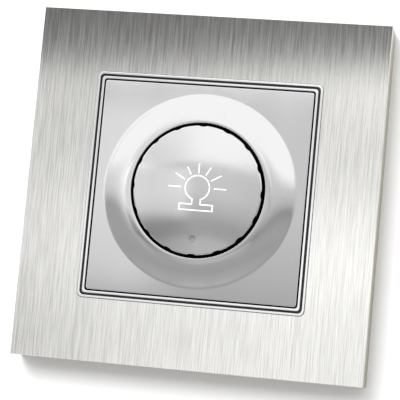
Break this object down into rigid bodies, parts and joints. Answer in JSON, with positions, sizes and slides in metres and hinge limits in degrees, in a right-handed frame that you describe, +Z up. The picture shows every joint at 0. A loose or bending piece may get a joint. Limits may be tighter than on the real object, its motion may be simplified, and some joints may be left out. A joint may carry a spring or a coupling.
{
  "type": "rotary dimmer switch",
  "caption": "Flush wall dimmer with a square brushed-metal frame, chrome trim, domed silver plate and a round knob that turns and pushes.",
  "frame": {"origin": "centre of the two box screw holes, in the wall plane where the frame's rim and the strap's back face lie", "axes": "-Y towards the room, along the knob axis; +Y into the wall box; +Z up; +X to the right seen from the room"},
  "size_m": [0.086, 0.0398, 0.086],
  "materials": {
    "brushed_aluminium": "vertically brushed, satin clear coat",
    "champagne_plastic": "metallic champagne paint, satin",
    "chrome_trim": "bright chrome plating",
    "silver_plastic": "silver metallic, glossy clear coat",
    "brass_nut": "plain turned brass",
    "zinc_steel": "bright zinc plating",
    "grey_plastic": "moulded, fine spark texture",
    "black_plastic": "moulded, satin",
    "board_laminate": "green solder mask",
    "shaft_metal": "turned, plain",
    "ferrite": "sintered, matt grey-black",
    "copper_wire": "enamelled wire, glossy",
    "capacitor_box": "moulded yellow box",
    "sink_aluminium": "plain rolled",
    "fuse_glass": "clear glass with metal caps",
    "resistor_body": "lacquered, plain"
  },
  "bodies": {
    "switch_body": {"face_sheet": "brushed_aluminium", "frame_carrier": "champagne_plastic", "trim_ring": "chrome_trim", "centre_plate": "silver_plastic", "plate_nut": "brass_nut", "nut_washer": "zinc_steel", "support_strap": "zinc_steel", "front_housing": "grey_plastic", "rear_housing": "grey_plastic", "housing_screws": "zinc_steel", "circuit_board": "board_laminate", "pot_case": "black_plastic", "shaft_bushing": "brass_nut", "track_disc": "board_laminate", "switch_case": "black_plastic", "fixed_contacts": "brass_nut", "return_spring": "zinc_steel", "choke_core": "ferrite", "choke_winding": "copper_wire", "film_capacitor": "capacitor_box", "heat_sink": "sink_aluminium", "triac": "black_plastic", "triac_screw": "zinc_steel", "fuse": "fuse_glass", "fuse_clips": "brass_nut", "resistors": "resistor_body", "terminal_clamps": "brass_nut", "terminal_screws": "zinc_steel"},
    "rotor": {"track_rotor": "black_plastic", "wiper": "brass_nut"},
    "knob": {"knob": "silver_plastic", "control_shaft": "shaft_metal"},
    "plunger": {"switch_plunger": "black_plastic", "contact_bridge": "brass_nut"}
  },
  "joints": [
    {"name": "knob_turn", "type": "hinge", "parent": "switch_body", "child": "rotor", "pos_m": [0, 0, 0], "axis": [0, -1, 0], "range_deg": [-140, 140]},
    {"name": "knob_push", "type": "slide", "parent": "rotor", "child": "knob", "axis": [0, 1, 0], "range_m": [0, 0.0015], "stiffness_N_per_m": 2000, "springref_m": -0.001},
    {"name": "plunger_push", "type": "slide", "parent": "switch_body", "child": "plunger", "axis": [0, 1, 0], "range_m": [0, 0.0015], "deforming": ["return_spring"]}
  ],
  "couplings": [
    {"joint": "plunger_push", "follows": "knob_push", "ratio": 1}
  ]
}
